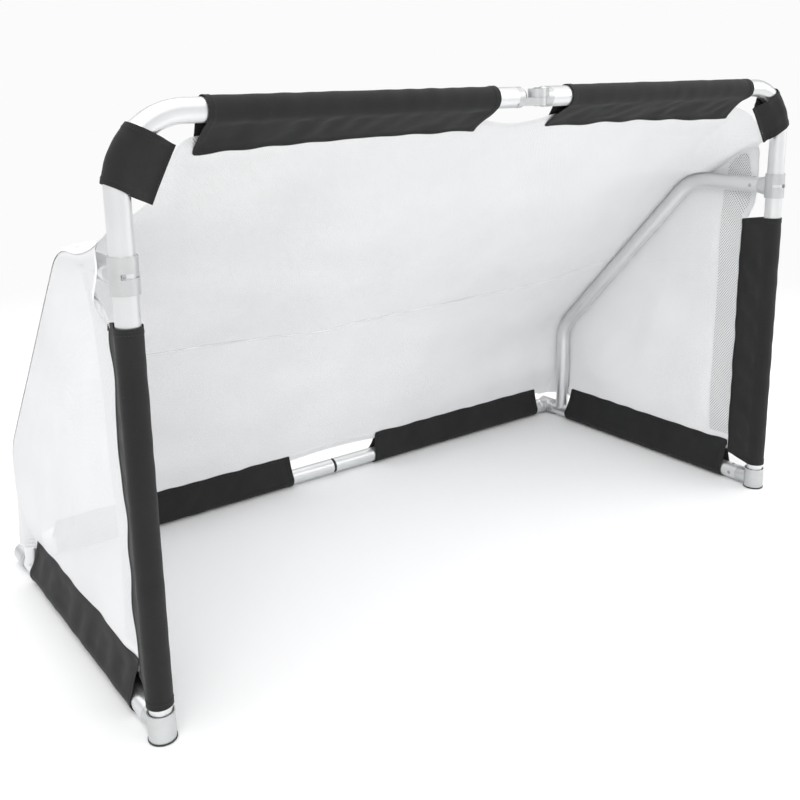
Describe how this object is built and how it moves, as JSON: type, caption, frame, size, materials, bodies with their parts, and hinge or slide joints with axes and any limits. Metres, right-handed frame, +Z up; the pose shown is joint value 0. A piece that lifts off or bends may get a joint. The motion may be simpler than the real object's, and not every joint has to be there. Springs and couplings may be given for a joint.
{
  "type": "soccer goal frame",
  "caption": "Folding goal of bent aluminium tube with a sewn-on mesh net; its posts turn in side frames, the crossbar folds at a hinge and the rear bar swings up.",
  "frame": {"origin": "centre of the footprint of the bounding box, on the ground", "axes": "+Z up, +Y from the mouth back to the rear bar, X across the mouth"},
  "size_m": [1.509, 0.732, 0.9302],
  "materials": {
    "tube_aluminium": "satin anodised",
    "cast_aluminium": "tumbled casting",
    "fastener_steel": "zinc plated",
    "foot_rubber": "matte",
    "black_plastic": "matte",
    "sleeve_fabric": "coated woven polyester",
    "net_mesh": "fine white mesh"
  },
  "bodies": {
    "side_left": {"collar_left": "cast_aluminium", "arm_tube_left": "tube_aluminium", "base_tube_left": "tube_aluminium", "foot_cup_left": "cast_aluminium", "foot_pad_left": "foot_rubber", "foot_bush_left": "black_plastic", "frame_rivets_left": "fastener_steel", "elbow_ring_left": "cast_aluminium", "elbow_spindle_left": "cast_aluminium", "elbow_screw_left": "fastener_steel", "post_sleeve_left": "sleeve_fabric", "base_sleeve_left": "sleeve_fabric", "side_net_left": "net_mesh"},
    "side_right": {"collar_right": "cast_aluminium", "arm_tube_right": "tube_aluminium", "base_tube_right": "tube_aluminium", "foot_cup_right": "cast_aluminium", "foot_pad_right": "foot_rubber", "foot_bush_right": "black_plastic", "frame_rivets_right": "fastener_steel", "elbow_ring_right": "cast_aluminium", "elbow_spindle_right": "cast_aluminium", "elbow_screw_right": "fastener_steel", "post_sleeve_right": "sleeve_fabric", "base_sleeve_right": "sleeve_fabric", "side_net_right": "net_mesh"},
    "upper_left": {"frame_tube_left": "tube_aluminium", "post_plug_left": "black_plastic", "stop_screw_left": "fastener_steel", "hinge_fitting_left": "cast_aluminium", "hinge_pin": "fastener_steel", "crossbar_sleeve_left": "sleeve_fabric", "corner_patch_left": "sleeve_fabric", "roof_net_left": "net_mesh"},
    "upper_right": {"frame_tube_right": "tube_aluminium", "post_plug_right": "black_plastic", "stop_screw_right": "fastener_steel", "hinge_fitting_right": "cast_aluminium", "crossbar_sleeve_right": "sleeve_fabric", "corner_patch_right": "sleeve_fabric", "roof_net_right": "net_mesh"},
    "rear_left": {"elbow_left": "cast_aluminium", "rear_tube_left": "tube_aluminium", "rear_plug_left": "black_plastic", "rear_sleeve_left": "sleeve_fabric"},
    "rear_right": {"elbow_right": "cast_aluminium", "rear_tube_right": "tube_aluminium", "rear_plug_right": "black_plastic", "rear_sleeve_right": "sleeve_fabric"}
  },
  "joints": [
    {"name": "left_post_fold", "type": "hinge", "parent": "side_left", "child": "upper_left", "pos_m": [-0.7325, -0.334, 0.4], "axis": [0, 0, 1], "range_deg": [0, 85], "deforming": ["roof_net_left"]},
    {"name": "crossbar_hinge", "type": "hinge", "parent": "upper_left", "child": "upper_right", "pos_m": [0, -0.35, 0.911], "axis": [0, 0, 1], "range_deg": [-170, 0], "deforming": ["roof_net_right"]},
    {"name": "right_post_fold", "type": "hinge", "parent": "upper_right", "child": "side_right", "pos_m": [0.7325, -0.334, 0.4], "axis": [0, 0, 1], "range_deg": [0, 85]},
    {"name": "rear_left_swing", "type": "hinge", "parent": "side_left", "child": "rear_left", "pos_m": [-0.7325, 0.346, 0.02], "axis": [0, -1, 0], "range_deg": [0, 90]},
    {"name": "rear_right_swing", "type": "hinge", "parent": "side_right", "child": "rear_right", "pos_m": [0.7325, 0.346, 0.02], "axis": [0, 1, 0], "range_deg": [0, 90]}
  ],
  "couplings": [
    {"joint": "crossbar_hinge", "follows": "left_post_fold", "ratio": -2},
    {"joint": "right_post_fold", "follows": "left_post_fold", "ratio": 1},
    {"joint": "rear_left_swing", "follows": "left_post_fold", "ratio": 1.0588},
    {"joint": "rear_right_swing", "follows": "left_post_fold", "ratio": 1.0588}
  ]
}
